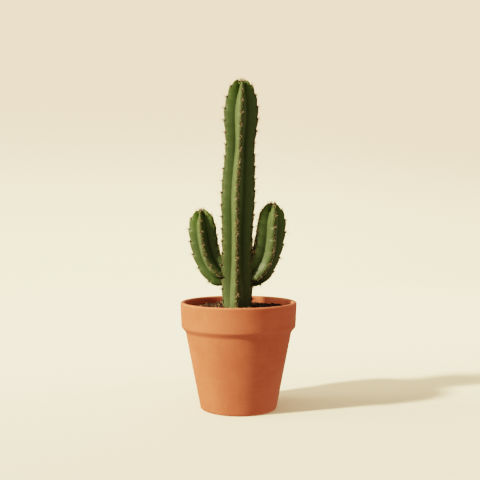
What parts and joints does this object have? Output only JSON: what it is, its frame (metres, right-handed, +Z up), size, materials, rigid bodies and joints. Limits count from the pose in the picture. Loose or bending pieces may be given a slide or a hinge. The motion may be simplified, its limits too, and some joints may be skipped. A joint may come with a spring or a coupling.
{
  "type": "potted columnar cactus",
  "caption": "Tall ribbed column cactus with two upturned arms, growing in soil in a tapered terracotta pot with a thick collar; stands on its flat base.",
  "frame": {"origin": "centre of the pot's underside, on the surface that the pot stands on", "axes": "+Z up along the pot's axis, -Y towards the front, so that the arms lie to -X and +X of the main stem"},
  "size_m": [0.1198, 0.1198, 0.3354],
  "materials": {
    "terracotta": "matte",
    "soil": "matte",
    "cactus_skin": "satin",
    "areole_wool": "matte",
    "spines": "satin",
    "grit": "matte"
  },
  "bodies": {
    "root": {"terracotta_pot": "terracotta", "potting_soil": "soil", "main_stem": "cactus_skin", "left_arm": "cactus_skin", "right_arm": "cactus_skin"}
  },
  "joints": []
}
